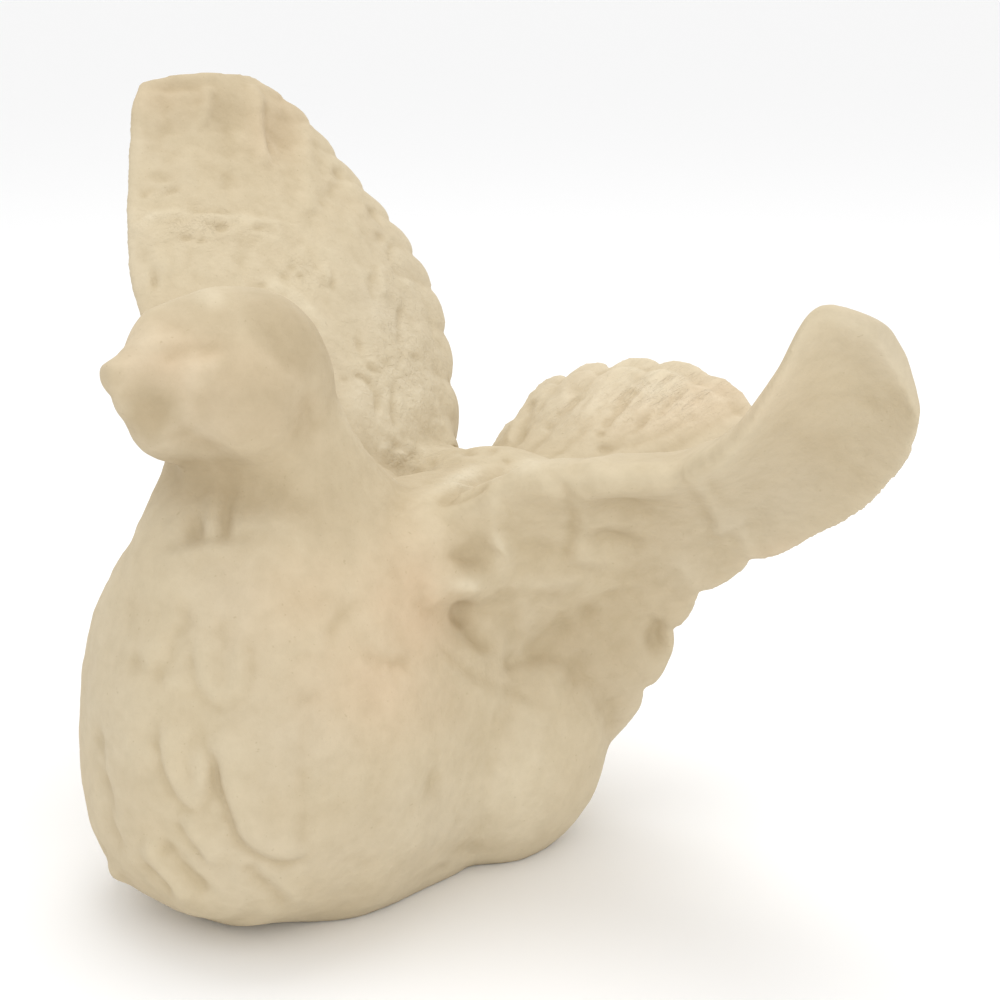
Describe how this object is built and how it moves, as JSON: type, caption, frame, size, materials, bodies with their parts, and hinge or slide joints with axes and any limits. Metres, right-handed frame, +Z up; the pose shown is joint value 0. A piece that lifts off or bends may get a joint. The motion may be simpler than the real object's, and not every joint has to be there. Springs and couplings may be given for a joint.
{
  "type": "dove statue",
  "caption": "Cast dove figurine with both wings raised and the tail fanned up, an ornament that stands on its flat underside.",
  "frame": {"origin": "middle of the bounding box in plan, on the flat underside that the bird stands on", "axes": "+Z up; the bird faces -Y, its tail is toward +Y and its left wing is on +X"},
  "size_m": [0.1838, 0.1386, 0.144],
  "materials": {
    "cast_cream": "matte"
  },
  "bodies": {
    "root": {"dove_statue": "cast_cream"}
  },
  "joints": []
}
